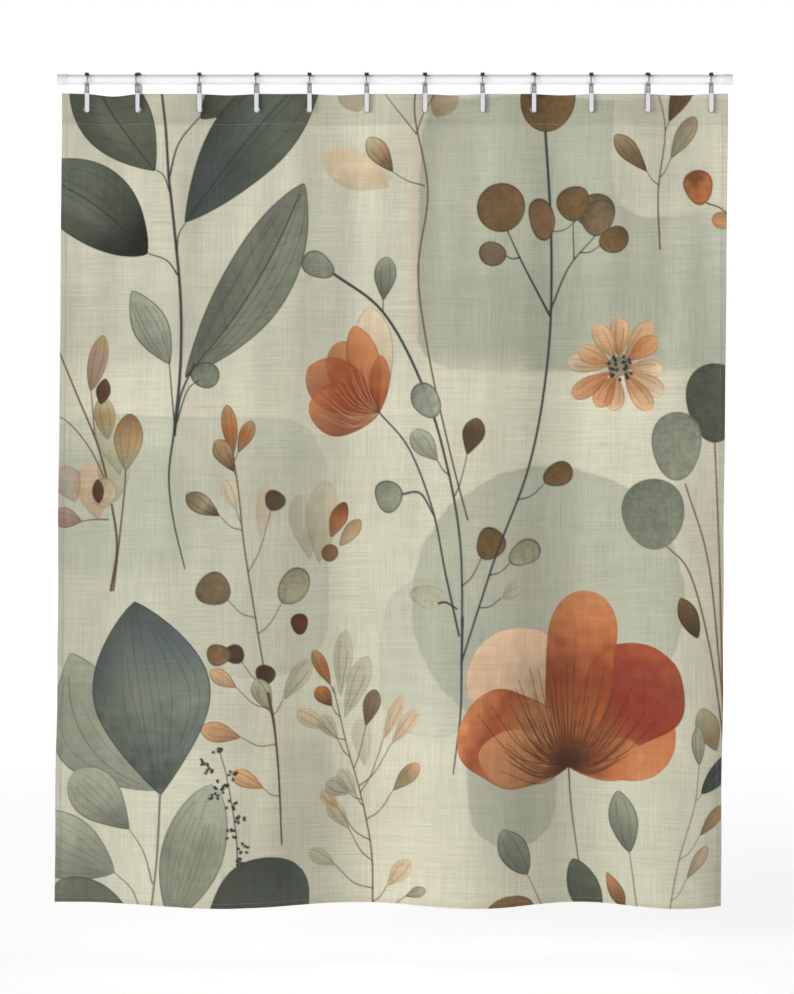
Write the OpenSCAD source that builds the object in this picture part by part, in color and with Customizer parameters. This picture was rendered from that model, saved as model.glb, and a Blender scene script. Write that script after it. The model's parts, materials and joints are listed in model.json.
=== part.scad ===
// Shower curtain hung by twelve hooks on a straight rod. Millimetres.
// +X runs along the rod to the right, +Y points to the back of the cloth, +Z is up.
// The origin is the middle of the rod, on its axis.

/* [Rod] */
// Length of the rod over its end caps
rod_length = 1520; // [1480:5:1700]
// Outside diameter of the rod tube
rod_d = 22; // [20:0.5:24]
// Wall thickness of the rod tube
rod_wall = 1.2; // [0.8:0.1:2]
// Wall thickness of an end cap
cap_wall = 0.8; // [0.6:0.1:1.2]
// Length of an end cap
cap_length = 22; // [15:1:30]

/* [Cloth] */
// Width of the cloth as it hangs
cloth_w = 1500; // [1460:5:1500]
// Drop of the cloth from its top edge to its bottom edge
cloth_drop = 1830; // [1600:5:2000]
// Thickness of one layer of cloth
cloth_t = 1.2; // [1:0.1:1.5]
// Depth of the header hem
header_h = 70; // [60:1:90]
// Width of each side hem
side_hem = 14; // [10:1:20]
// Height of the bottom hem
bottom_hem_h = 13; // [10:1:30]
// How far the broad folds reach to each side at the bottom edge
fold_reach = 32; // [10:1:40]
// How far the cloth bows between two hooks at the header
bow_reach = 6; // [0:0.5:8]
// Inside radius of an eyelet
eyelet_r = 5; // [4.5:0.1:6]
// Width of the stitching round an eyelet
eyelet_stitch = 2.5; // [1.5:0.1:3]

/* [Hooks] */
// Number of hooks
hook_count = 12; // [12]
// Pitch between hooks before their small shifts
hook_pitch = 128; // [120:1:130]
// Diameter of the ring's wire
wire_d = 3.2; // [2.8:0.1:3.6]
// Inside radius of the ring
ring_r = 13.9; // [13.5:0.1:15]
// Width of the glide that carries the ring over the rod
glide_w = 9; // [7:0.5:10]
// Thickness of the glide round the wire
glide_t = 4.4; // [4:0.1:5]
// Width of the block along the rod
block_w = 10; // [8:0.5:12]
// Depth of the block from front to back
block_depth = 22; // [18:0.5:24]
// Height of the block
block_h = 19; // [16:0.5:22]
// Width of the flat strip
strip_w = 10.5; // [8:0.5:12]
// Thickness of the flat strip
strip_t = 1.5; // [1.2:0.1:2]
// Radius of the bend that carries the eyelet, to the wire's middle
bend_r = 5.5; // [5:0.1:6]

/* [Hidden] */
$fn = 48;

// A little past a face, so that a cut goes clean through
past = 1;
rod_r = rod_d / 2;
cap_r = rod_r + cap_wall;
tube_length = rod_length - 2 * cap_wall;

// Running clearances: glide over rod, block under rod, cloth under block
glide_gap = 0.3;
block_gap = 0.8;
cloth_gap = 1.5;

// Each hook has slid a little from the even pitch and turned a little about the vertical
hook_shift = [0, -11, -2, 0, -10, -8, -6, -3, -17, -14, -16, 0];
hook_turn = [15, -14, 6, -7, 5, -5, 7, -6, 8, -9, 5, -10];
first_hook_x = -695;
function hook_x(i) = first_hook_x + i * hook_pitch + hook_shift[i];

wire_r = wire_d / 2;
ring_mid_r = ring_r + wire_r;
ring_z = rod_r + glide_gap + glide_t / 2 - ring_mid_r;
glide_turn = 58;
glide_edge = 0.9;
block_top = -(rod_r + block_gap);
block_bottom = block_top - block_h;
cloth_top = block_bottom - cloth_gap;
header_bottom = cloth_top - header_h;
cloth_bottom = cloth_top - cloth_drop;
hem_top = cloth_bottom + bottom_hem_h;

// The strip hangs in front of the cloth and covers the eyelet; a bent wire behind it goes back through the eyelet
strip_y = -bend_r - 1;
strip_tang = 7;
strip_bottom = cloth_top - 37.5;
bend_z = cloth_top - 27;
leg_rise = 7;
tip_rise = 9;
eyelet_gap = 0.4;
eyelet_z = bend_z - bend_r + wire_r + eyelet_gap - eyelet_r;
eyelet_outer_r = eyelet_r + eyelet_stitch;
eyelet_t = 3;

// The broad folds come closer together towards the right
fold_start = -706;
fold_half_wave = 395;
fold_tightening = 3000;
function fold_turns(x) = (x - fold_start) / fold_half_wave * (1 + (x - fold_start) / fold_tightening);
function broad_fold(x) = fold_reach * cos(180 * fold_turns(x));

// Between two hooks the header bows to one side, and past the next hook to the other
function span_of(x) = max([0, for (i = [0 : hook_count - 2]) if (x >= hook_x(i)) i]);
function bow_at(x, i) = sin(180 * (x - hook_x(i)) / (hook_x(i + 1) - hook_x(i)));
function header_bow(x) = (span_of(x) % 2 == 0 ? 1 : -1) * bow_reach * bow_at(x, span_of(x));

// The bows of the header turn into the broad folds on the way down
function fold_share(z) = z >= header_bottom ? 0 : pow((header_bottom - z) / (header_bottom - cloth_bottom), 0.8);
function cloth_y(x, z) = header_bow(x) * (1 - fold_share(z)) + broad_fold(x) * fold_share(z);

// Columns and rows of the cloth's net
columns = 60;
rows = 8;
inner_left = -cloth_w / 2 + side_hem;
inner_right = cloth_w / 2 - side_hem;
inner_x = [for (k = [0 : columns]) inner_left + (inner_right - inner_left) * k / columns];
inner_z = [for (k = [0 : rows]) header_bottom + (hem_top - header_bottom) * k / rows];
left_x = [-cloth_w / 2, inner_left];
right_x = [inner_right, cloth_w / 2];

// A sheet over the net xs by zs, t thick, that follows the folds
module cloth_net(xs, zs, t) {
    nx = len(xs);
    nz = len(zs);
    layer = nx * nz;
    front = [for (z = zs, x = xs) [x, cloth_y(x, z) - t / 2, z]];
    back = [for (z = zs, x = xs) [x, cloth_y(x, z) + t / 2, z]];
    front_faces = [for (j = [0 : nz - 2], i = [0 : nx - 2]) let (a = j * nx + i)
        each [[a, a + 1, a + nx + 1], [a, a + nx + 1, a + nx]]];
    back_faces = [for (f = front_faces) [f[2] + layer, f[1] + layer, f[0] + layer]];
    rim = concat(
        [for (i = [0 : nx - 1]) i],
        [for (j = [1 : nz - 1]) j * nx + nx - 1],
        [for (i = [nx - 2 : -1 : 0]) (nz - 1) * nx + i],
        [for (j = [nz - 2 : -1 : 1]) j * nx]
    );
    side_faces = [for (k = [0 : len(rim) - 1]) let (a = rim[k], b = rim[(k + 1) % len(rim)])
        each [[a, a + layer, b + layer], [a, b + layer, b]]];
    polyhedron(concat(front, back), concat(front_faces, back_faces, side_faces));
}

module rod_tube() {
    color("white")
        rotate([0, 90, 0])
            difference() {
                cylinder(r = rod_r, h = tube_length, center = true);
                cylinder(r = rod_r - rod_wall, h = tube_length + past, center = true);
            }
}

// A cup pushed over the end of the tube; side is -1 on the left and 1 on the right
module rod_cap(side) {
    color("whitesmoke")
        translate([side * rod_length / 2, 0, 0])
            rotate([0, -90 * side, 0])
                difference() {
                    cylinder(r = cap_r, h = cap_length);
                    translate([0, 0, cap_wall])
                        cylinder(r = rod_r, h = cap_length);
                }
}

module panel_cloth() {
    color([0.85, 0.85, 0.78])
        cloth_net(inner_x, inner_z, cloth_t);
}

module left_side_hem() {
    color([0.80, 0.80, 0.72])
        cloth_net(left_x, concat(inner_z, [cloth_bottom]), 2 * cloth_t);
}

module right_side_hem() {
    color([0.80, 0.80, 0.72])
        cloth_net(right_x, concat(inner_z, [cloth_bottom]), 2 * cloth_t);
}

module bottom_hem() {
    color([0.78, 0.78, 0.70])
        cloth_net(inner_x, [hem_top, cloth_bottom], 2 * cloth_t);
}

// The header is a doubled band with a round hole for each eyelet
module header_hem() {
    xs = concat([left_x[0]], inner_x, [right_x[1]]);
    front = [for (x = xs) [x, header_bow(x) - cloth_t]];
    back = [for (k = [len(xs) - 1 : -1 : 0]) [xs[k], header_bow(xs[k]) + cloth_t]];
    color([0.76, 0.77, 0.68])
        difference() {
            translate([0, 0, header_bottom])
                linear_extrude(header_h)
                    polygon(concat(front, back));
            for (i = [0 : hook_count - 1])
                translate([hook_x(i), 0, eyelet_z])
                    rotate([90, 0, 0])
                        cylinder(r = eyelet_outer_r, h = 20, center = true);
        }
}

module eyelet_stitching() {
    color([0.88, 0.87, 0.80])
        for (i = [0 : hook_count - 1])
            translate([hook_x(i), 0, eyelet_z])
                rotate([90, 0, 0])
                    difference() {
                        cylinder(r = eyelet_outer_r, h = eyelet_t, center = true);
                        cylinder(r = eyelet_r, h = eyelet_t + past, center = true);
                    }
}

// Puts a hook's piece at its place on the rod, turned about the vertical
module at_hook(i) {
    translate([hook_x(i), 0, 0])
        rotate([0, 0, hook_turn[i]])
            children();
}

// The closed wire ring, upright in the plane across the rod
module ring_wire() {
    translate([0, 0, ring_z])
        rotate([0, 90, 0])
            rotate_extrude()
                translate([ring_mid_r, 0])
                    circle(r = wire_r);
}

module strip_tang_shape() {
    translate([-strip_w / 2 + 1, strip_y - strip_t / 2, block_bottom])
        cube([strip_w - 2, strip_t, strip_tang]);
}

module hook_ring(i) {
    color([0.82, 0.83, 0.85])
        at_hook(i)
            ring_wire();
}

// A moulded saddle round the top of the ring, bored for the wire
module hook_glide(i) {
    t = glide_t / 2;
    w = glide_w / 2;
    e = glide_edge;
    color([0.30, 0.30, 0.32])
        at_hook(i)
            difference() {
                translate([0, 0, ring_z])
                    rotate([0, 90, 0])
                        rotate([0, 0, 180 - glide_turn])
                            rotate_extrude(angle = 2 * glide_turn)
                                translate([ring_mid_r, 0])
                                    polygon([[-t, -w + e], [-t + e, -w], [t - e, -w], [t, -w + e],
                                        [t, w - e], [t - e, w], [-t + e, w], [-t, w - e]]);
                ring_wire();
            }
}

// The block is bored for the ring and slotted for the strip
module hook_block(i) {
    edge = 1;
    color([0.70, 0.71, 0.74])
        at_hook(i)
            difference() {
                translate([0, 0, block_bottom])
                    linear_extrude(block_h)
                        polygon([
                            [-block_w / 2 + edge, -block_depth / 2],
                            [block_w / 2 - edge, -block_depth / 2],
                            [block_w / 2, -block_depth / 2 + edge],
                            [block_w / 2, block_depth / 2 - edge],
                            [block_w / 2 - edge, block_depth / 2],
                            [-block_w / 2 + edge, block_depth / 2],
                            [-block_w / 2, block_depth / 2 - edge],
                            [-block_w / 2, -block_depth / 2 + edge]
                        ]);
                ring_wire();
                strip_tang_shape();
            }
}

// The flat strip, with a wire behind it that bends back through the eyelet and up
module hook_strip(i) {
    color([0.88, 0.89, 0.90])
        at_hook(i)
            union() {
                strip_tang_shape();
                translate([-strip_w / 2, strip_y - strip_t / 2, strip_bottom])
                    cube([strip_w, strip_t, block_bottom - strip_bottom]);
                translate([0, strip_y - strip_t / 2, strip_bottom])
                    rotate([-90, 0, 0])
                        cylinder(r = strip_w / 2, h = strip_t);
                translate([0, -bend_r, bend_z])
                    cylinder(r = wire_r, h = leg_rise);
                translate([0, 0, bend_z])
                    rotate([0, 90, 0])
                        rotate([0, 0, -90])
                            rotate_extrude(angle = 180)
                                translate([bend_r, 0])
                                    circle(r = wire_r);
                translate([0, bend_r, bend_z])
                    cylinder(r = wire_r, h = tip_rise);
                translate([0, bend_r, bend_z + tip_rise])
                    sphere(r = wire_r);
            }
}

rod_tube();
rod_cap(-1);  // rod_cap_left
rod_cap(1);  // rod_cap_right
panel_cloth();
header_hem();
left_side_hem();
right_side_hem();
bottom_hem();
eyelet_stitching();
for (i = [0 : hook_count - 1]) {
    number = str("hook_", i < 9 ? "0" : "", i + 1);
    hook_ring(i);
    hook_glide(i);
    hook_block(i);
    hook_strip(i);
}
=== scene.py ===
"""The looks of a printed shower curtain that hangs by twelve metal hooks on a white rod."""
import json

import bpy
import numpy as np
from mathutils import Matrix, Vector

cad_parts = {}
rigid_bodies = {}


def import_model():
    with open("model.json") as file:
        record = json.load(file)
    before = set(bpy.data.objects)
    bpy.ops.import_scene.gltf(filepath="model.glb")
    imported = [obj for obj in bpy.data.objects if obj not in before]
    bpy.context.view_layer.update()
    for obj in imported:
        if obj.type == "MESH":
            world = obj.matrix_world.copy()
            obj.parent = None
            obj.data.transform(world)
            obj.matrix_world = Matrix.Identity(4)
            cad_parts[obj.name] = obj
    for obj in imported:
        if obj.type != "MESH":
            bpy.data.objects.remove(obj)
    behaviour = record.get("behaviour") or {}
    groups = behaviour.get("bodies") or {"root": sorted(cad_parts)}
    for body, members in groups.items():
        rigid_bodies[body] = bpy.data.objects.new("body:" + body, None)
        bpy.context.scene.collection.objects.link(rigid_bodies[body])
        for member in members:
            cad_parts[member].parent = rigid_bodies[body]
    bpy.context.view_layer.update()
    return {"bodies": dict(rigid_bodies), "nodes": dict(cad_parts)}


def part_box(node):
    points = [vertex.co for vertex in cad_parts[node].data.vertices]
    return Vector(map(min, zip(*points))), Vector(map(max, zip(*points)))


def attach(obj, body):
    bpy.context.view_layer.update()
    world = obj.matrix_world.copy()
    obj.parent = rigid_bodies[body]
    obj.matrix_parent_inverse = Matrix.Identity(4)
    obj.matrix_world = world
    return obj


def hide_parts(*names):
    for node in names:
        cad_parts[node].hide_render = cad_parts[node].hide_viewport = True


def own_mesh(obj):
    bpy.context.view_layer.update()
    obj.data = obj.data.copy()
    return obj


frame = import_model()
hooks = sorted(body for body in frame["bodies"] if body.startswith("hook_"))

# ---- places, all taken from the frame, in metres ----


def middle(node, axis):
    low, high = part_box(node)
    return (low[axis] + high[axis]) / 2


header_low, header_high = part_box("header_hem")
bottom_low, bottom_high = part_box("bottom_hem")
left_low, left_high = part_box("left_side_hem")
CLOTH_LEFT = header_low[0]
CLOTH_RIGHT = header_high[0]
CLOTH_TOP = header_high[2]
HEADER_BOTTOM = header_low[2]
CLOTH_BOTTOM = bottom_low[2]
HEM_TOP = bottom_high[2]
CLOTH_W = CLOTH_RIGHT - CLOTH_LEFT
CLOTH_DROP = CLOTH_TOP - CLOTH_BOTTOM
SIDE_HEM = left_high[0] - left_low[0]
EYELET_Z = middle("eyelet_stitching", 2)
HOOK_X = [middle(hook + "_ring", 0) for hook in hooks]

# ---- how the cloth hangs ----

FOLD_REACH = 0.030
BOW_REACH = 0.0055
FOLD_START = -0.706
FOLD_HALF_WAVE = 0.395
FOLD_TIGHTENING = 3.0
LEAN_LEFT = 0.0245
LEAN_RIGHT = 0.0155
FACE = 0.0004
HEM_BACK = 0.0016
FOLD_R = (HEM_BACK + FACE) / 2
SEAM_IN = 0.0022
EYELET_HOLE = 0.0058
EYELET_EDGE = 0.0063
EYELET_HALF = 0.0014
EYELET_RISE = 0.0017
FREE_DROP = HEADER_BOTTOM - CLOTH_BOTTOM
RIPPLE_DROP = 0.9
RIPPLE_START = 0.12
FIRST_SAG = 0.0042
SAG = 0.0014
SAG_DROP = 0.12


def broad_fold(x):
    """The broad folds at the bottom edge, closer together towards the right."""
    turns = (x - FOLD_START) / FOLD_HALF_WAVE * (1 + (x - FOLD_START) / FOLD_TIGHTENING)
    return FOLD_REACH * np.cos(np.pi * turns)


def between_hooks(x):
    """The number of the gap between two hooks that x lies in, and how far along that gap x is."""
    places = np.array(HOOK_X)
    gap = np.clip(np.searchsorted(places, x, side="right") - 1, 0, len(places) - 2)
    return gap, (x - places[gap]) / (places[gap + 1] - places[gap])


def header_bow(x):
    """Between two hooks the header bows to one side, and past the next hook to the other."""
    gap, along = between_hooks(x)
    return np.where(gap % 2 == 0, 1.0, -1.0) * BOW_REACH * np.sin(np.pi * along)


def below_header(z, drop):
    """0 at the header's lower edge and above, rising to 1 at drop metres below it."""
    return np.clip((HEADER_BOTTOM - z) / drop, 0, 1)


def ripple(x, z):
    """Small soft creases that run down from the header and die out."""
    down = below_header(z, RIPPLE_DROP)
    fine = 0.0016 * np.sin(x * 39 + 1.7 * np.sin(z * 2.3)) + 0.0011 * np.sin(x * 71 - z * 1.9 + 0.8)
    broad = 0.0030 * np.sin(x * 11 + z * 1.6 + 0.5)
    return (fine * (1 - 0.6 * down) + broad) * below_header(z, RIPPLE_START)


def cloth_y(x, z):
    """How far the cloth stands behind the rod's axis at x and z."""
    share = below_header(z, FREE_DROP) ** 0.8
    return header_bow(x) * (1 - share) + broad_fold(x) * share + ripple(x, z)


def cloth_x(x, z):
    """The cloth leans a little to the left on its way down, its left edge the most."""
    share = below_header(z, FREE_DROP)
    wander = 0.0012 * np.sin(z * 9 + 0.6) + 0.0008 * np.sin(z * 21)
    lean = LEAN_LEFT + (LEAN_RIGHT - LEAN_LEFT) * (x - CLOTH_LEFT) / CLOTH_W
    return x + (wander - lean) * share


def edge_dip(x):
    """The top edge sags between two hooks, most between the first two."""
    gap, along = between_hooks(x)
    return np.where(gap == 0, FIRST_SAG, SAG) * np.sin(np.pi * np.clip(along, 0, 1)) ** 2


# ---- meshes ----


def new_object(name, verts, faces):
    mesh = bpy.data.meshes.new(name)
    mesh.from_pydata([tuple(v) for v in verts], [], [tuple(f) for f in faces])
    mesh.update()
    mesh.shade_smooth()
    obj = bpy.data.objects.new(name, mesh)
    bpy.context.scene.collection.objects.link(obj)
    return obj


def grid_object(name, points, keep=None):
    """A smooth sheet through rows by columns of points, less the faces that keep leaves out."""
    rows, columns = points.shape[:2]
    corner = (np.arange(rows - 1)[:, None] * columns + np.arange(columns - 1)[None, :])
    faces = np.stack([corner, corner + columns, corner + columns + 1, corner + 1], -1)
    faces = faces.reshape(-1, 4)
    faces = faces if keep is None else faces[keep]
    used = np.zeros(rows * columns, bool)
    used[faces] = True
    number = np.cumsum(used) - 1
    faces = number[faces]
    verts = points.reshape(-1, 3)[used]
    mesh = bpy.data.meshes.new(name)
    mesh.vertices.add(len(verts))
    mesh.vertices.foreach_set("co", verts.astype(np.float32).ravel())
    mesh.loops.add(faces.size)
    mesh.loops.foreach_set("vertex_index", faces.astype(np.int32).ravel())
    mesh.polygons.add(len(faces))
    mesh.polygons.foreach_set("loop_start", np.arange(0, faces.size, 4, dtype=np.int32))
    mesh.polygons.foreach_set("loop_total", np.full(len(faces), 4, np.int32))
    mesh.update(calc_edges=True)
    mesh.shade_smooth()
    obj = bpy.data.objects.new(name, mesh)
    bpy.context.scene.collection.objects.link(obj)
    return obj, used


def store(obj, name, kind, values):
    """Keeps one value per vertex under that name, for the material to read."""
    layer = obj.data.attributes.new(name, kind, "POINT")
    field = "color" if kind == "FLOAT_COLOR" else "vector"
    layer.data.foreach_set(field, np.ascontiguousarray(values, np.float32).ravel())


# ---- the print, in centimetres from the cloth's top left corner, down the page ----

BACK_GROUND = (216, 214, 200)
CREAM = (226, 223, 203)
PALE_SAGE = (203, 206, 189)
SAGE = (181, 185, 167)
DEEP_SAGE = (158, 163, 145)
SLATE = (72, 78, 74)
MOSS = (86, 91, 77)
LEAF_GREY = (126, 132, 116)
LEAF_PALE = (160, 164, 146)
BLUE_GREY = (92, 102, 104)
INK = (52, 54, 50)
SLATE_LINE = (58, 64, 66)
STONE = (112, 115, 102)
PINE = (83, 89, 77)
PEWTER = (98, 108, 102)
FERN = (122, 129, 117)
LICHEN = (146, 150, 132)
HAY = (192, 191, 162)
DRIFTWOOD = (146, 130, 104)
ACORN = (118, 92, 59)
BARK = (122, 104, 80)
NUT = (136, 104, 76)
ROSEWOOD = (124, 86, 70)
DARK_SEPIA = (78, 53, 40)
BRICK = (146, 62, 46)
EMBER = (154, 76, 48)
COPPER = (182, 108, 66)
AMBER = (191, 126, 83)
CLAY = (198, 144, 101)
HONEY = (208, 161, 120)
PETAL = (221, 188, 158)
WARMTH = (1.0, 0.996, 0.974)
SHELL = (224, 207, 186)
TWIG = (96, 74, 58)
UMBER = (112, 86, 56)
WALNUT = (90, 72, 56)
CHESTNUT = (96, 60, 42)
MAROON = (76, 57, 45)
ROSE_TAUPE = (170, 142, 128)
OLIVE = (168, 164, 136)
TAN = (166, 138, 100)
SAND = (196, 178, 148)
PEACH = (206, 166, 128)
BLUSH = (214, 190, 160)
APRICOT = (200, 146, 104)
ORANGE = (180, 112, 66)
RUST = (156, 78, 50)


def soft_noise(width, height, cell, seed):
    """Smooth noise about zero, mostly from -1 to 1, with blotches about cell points across."""
    rng = np.random.default_rng(seed)
    across = np.fft.rfftfreq(width)
    down = np.fft.fftfreq(height)
    waves = np.exp(-2.0 * ((across[None, :] ** 2 + down[:, None] ** 2) * cell ** 2))
    field = np.fft.irfft2(np.fft.rfft2(rng.standard_normal((height, width))) * waves, (height, width))
    return np.clip(field / field.std() / 2, -1.3, 1.3)


class Print:
    """Paint on an even net of points over the flat cloth."""

    def __init__(self, pitch):
        self.pitch = pitch
        self.across = int(round(CLOTH_W * 100 / pitch)) + 1
        self.down = int(round(CLOTH_DROP * 100 / pitch)) + 1
        self.x = np.linspace(0, CLOTH_W * 100, self.across)
        self.y = np.linspace(0, CLOTH_DROP * 100, self.down)
        self.rgb = np.tile(np.array(CREAM, float), (self.down, self.across, 1))
        self.mottle = soft_noise(self.across, self.down, 2.2 / pitch, 3)
        self.cloud = soft_noise(self.across, self.down, 13 / pitch, 4)
        self.grain = soft_noise(self.across, self.down, 0.9 / pitch, 5)

    def window(self, x0, x1, y0, y1):
        i0, i1 = np.searchsorted(self.x, (x0, x1))
        j0, j1 = np.searchsorted(self.y, (y0, y1))
        here = (slice(j0, j1), slice(i0, i1))
        x, y = np.meshgrid(self.x[i0:i1], self.y[j0:j1])
        return here, x, y

    def lay(self, here, cover, colour, strength=1.0):
        share = np.clip(cover, 0, 1)[..., None] * strength
        self.rgb[here] = self.rgb[here] * (1 - share) + np.asarray(colour, float) * share

    def inside(self, depth, soft=None):
        """Cover from the depth inside an edge, in centimetres."""
        return np.clip(depth / (soft or self.pitch * 1.3) + 0.5, 0, 1)

    def wash(self, x0, x1, y0, y1, round_r, colour, strength=0.8, soft=0.6):
        """A block of thin paint with rounded corners."""
        here, x, y = self.window(x0 - 3, x1 + 3, y0 - 3, y1 + 3)
        if x.size == 0:
            return
        wobble = self.mottle[here] * 0.25 + self.cloud[here] * 0.7
        over_x = np.maximum(abs(x - (x0 + x1) / 2) - (x1 - x0) / 2 + round_r, 0)
        over_y = np.maximum(abs(y - (y0 + y1) / 2) - (y1 - y0) / 2 + round_r, 0)
        depth = round_r - np.hypot(over_x, over_y) + wobble
        body = self.inside(depth, soft) * (0.88 + 0.12 * self.cloud[here])
        self.lay(here, body, colour, strength)
        if soft < 1:
            rim = self.inside(0.16 - abs(depth - 0.5)) * 0.5 + self.inside(0.12 - abs(depth - 1.5)) * 0.3
            self.lay(here, rim, DEEP_SAGE, 0.22)

    def stem(self, points, ink, thick, thin=None):
        """A stroke along a smooth line through points, thick at its first end."""
        path = smooth_path(points)
        thin = thick * 0.5 if thin is None else thin
        low = path.min(0) - 1
        high = path.max(0) + 1
        here, x, y = self.window(low[0], high[0], low[1], high[1])
        if x.size == 0:
            return path
        cover = np.zeros(x.shape)
        count = len(path) - 1
        for k in range(count):
            a = path[k]
            b = path[k + 1]
            line = b - a
            along = np.clip(((x - a[0]) * line[0] + (y - a[1]) * line[1]) / (line @ line + 1e-9), 0, 1)
            gap = np.hypot(x - a[0] - along * line[0], y - a[1] - along * line[1])
            width = thick + (thin - thick) * (k + along) / count
            cover = np.maximum(cover, self.inside(width / 2 - gap))
        self.lay(here, cover, ink, 0.92)
        return path

    def leaf(self, foot, angle, length, width, tint, shape=(1.5, 0.6), bend=0.0, veins=0, edge=0.6,
             ink=None, fade=0.12, strength=0.94, side=0.08, dark_foot=0.0, gleam=None, rough=0.012, ribs=0,
             half_tint=None):
        """A leaf or petal from its foot. Angle 0 points up the page and 90 to the right."""
        turn = np.radians(angle)
        ahead = np.array([np.sin(turn), -np.cos(turn)])
        right = np.array([np.cos(turn), np.sin(turn)])
        reach = length + width
        here, x, y = self.window(foot[0] - reach, foot[0] + reach, foot[1] - reach, foot[1] + reach)
        if x.size == 0:
            return
        along = ((x - foot[0]) * ahead[0] + (y - foot[1]) * ahead[1]) / length
        t = np.clip(along, 0.0001, 0.9999)
        across = (x - foot[0]) * right[0] + (y - foot[1]) * right[1] - bend * length * np.sin(np.pi * t)
        half = width / 2 * np.sin(np.pi * t ** shape[0]) ** shape[1] * (1 + rough * self.cloud[here])
        half *= 1 + rough * 1.5 * np.sin(t * 9 + angle)
        depth = np.where((along > 0) & (along < 1), half - abs(across), -1)
        cover = self.inside(depth)
        tint = np.array(tint, float)
        if tint.ndim == 2:
            stops = np.linspace(0, 1, len(tint))
            blend = t + 0.05 * self.mottle[here]
            body = np.stack([np.interp(blend, stops, tint[:, k]) for k in range(3)], -1)
            tint = tint[0]
        else:
            body = np.broadcast_to(tint, x.shape + (3,))
        if half_tint is not None:
            body = np.where((across > 0)[..., None], np.array(half_tint, float), body)
        place = across / (width / 2)
        shade = 1 + fade * (t - 0.5) * 2 + side * place + 0.035 * self.mottle[here] + 0.07 * self.cloud[here]
        shade -= dark_foot * np.exp(-(t / 0.30) ** 2)
        paint_here = body * np.clip(shade, 0.4, 1.5)[..., None]
        if gleam is not None:
            glow = np.exp(-((place + 0.25) / 0.30) ** 2) * np.exp(-((t - 0.55) / 0.28) ** 2) * 0.55
            paint_here = paint_here * (1 - glow[..., None]) + np.array(gleam, float) * glow[..., None]
        self.lay(here, cover, paint_here, strength)
        line = np.array(ink, float) if ink is not None else tint * 0.42
        rim = self.inside(0.13 - abs(depth - 0.09)) * cover
        self.lay(here, rim, line, edge)
        if veins:
            rib = self.inside(0.12 - abs(across)) * cover * (along < 0.95)
            self.lay(here, rib, line, 0.8)
            slope = 0.95 + 0.25 * np.sign(across)
            ramp = (t * length - abs(across) * slope - 0.24 * across ** 2 / max(width, 1)) * veins / length
            ramp += 0.12 * np.sin(t * 17 + np.sign(across) * 2)
            gap = abs(ramp - np.round(ramp)) * length / veins
            reach_out = np.clip((depth - 0.4) / 1.2, 0, 1)
            lines = self.inside(0.05 - gap, self.pitch * 1.6) * reach_out * (t > 0.05)
            self.lay(here, lines, line, 0.5)
        rng = np.random.default_rng(1 + int(length * 10))
        for k in range(ribs):
            lie = -0.82 + 1.64 * (k + 0.5) / ribs + rng.uniform(-0.05, 0.05)
            wander = 0.10 * np.sin(t * rng.uniform(4, 9) + rng.uniform(0, 6))
            gap = abs(across - half * (lie + wander * lie))
            span = (t > rng.uniform(0.02, 0.25)) * (t < rng.uniform(0.7, 0.97))
            stroke = self.inside(0.05 - gap, self.pitch * 1.5) * cover * span
            self.lay(here, stroke, line, rng.uniform(0.25, 0.6))

    def round_leaf(self, middle_at, rx, ry, tint, tilt=0.0, edge=0.6, ink=None, strength=0.94, lump=0.08,
                   burn=0.12):
        """A round or egg-shaped leaf or berry."""
        turn = np.radians(tilt)
        reach = max(rx, ry) + 1
        mid_x, mid_y = middle_at
        here, x, y = self.window(mid_x - reach, mid_x + reach, mid_y - reach, mid_y + reach)
        if x.size == 0:
            return
        dx = (x - mid_x) * np.cos(turn) + (y - mid_y) * np.sin(turn)
        dy = (y - mid_y) * np.cos(turn) - (x - mid_x) * np.sin(turn)
        egg = 1 + 0.14 * dy / ry
        wave = np.arctan2(dy, dx)
        lumps = 0.5 * np.sin(2 * wave + rx * 7) + 0.35 * np.sin(3 * wave + ry * 5)
        around = np.hypot(dx / rx * egg, dy / ry) * (1 + lump * lumps)
        depth = (1 - around) * min(rx, ry)
        cover = self.inside(depth)
        tint = np.array(tint, float)
        burnt = np.clip(-dy / ry + 0.6 * self.mottle[here] - 0.2, 0, 1) * burn
        shade = 1 + 0.08 * dx / rx + 0.05 * self.mottle[here] + 0.06 * self.grain[here] - burnt
        self.lay(here, cover, tint * shade[..., None], strength)
        line = np.array(ink, float) if ink is not None else tint * 0.5
        self.lay(here, self.inside(0.15 - abs(depth - 0.10)) * cover, line, edge)

    def dots(self, centre, spread, count, size, ink, seed):
        """A cluster of small dark dots."""
        rng = np.random.default_rng(seed)
        for _ in range(count):
            turn = rng.uniform(0, 2 * np.pi)
            away = spread * np.sqrt(rng.uniform(0.05, 1))
            spot = (centre[0] + away * np.cos(turn), centre[1] + away * np.sin(turn))
            self.round_leaf(spot, size, size * 0.8, ink, tilt=np.degrees(turn), edge=0)

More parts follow.
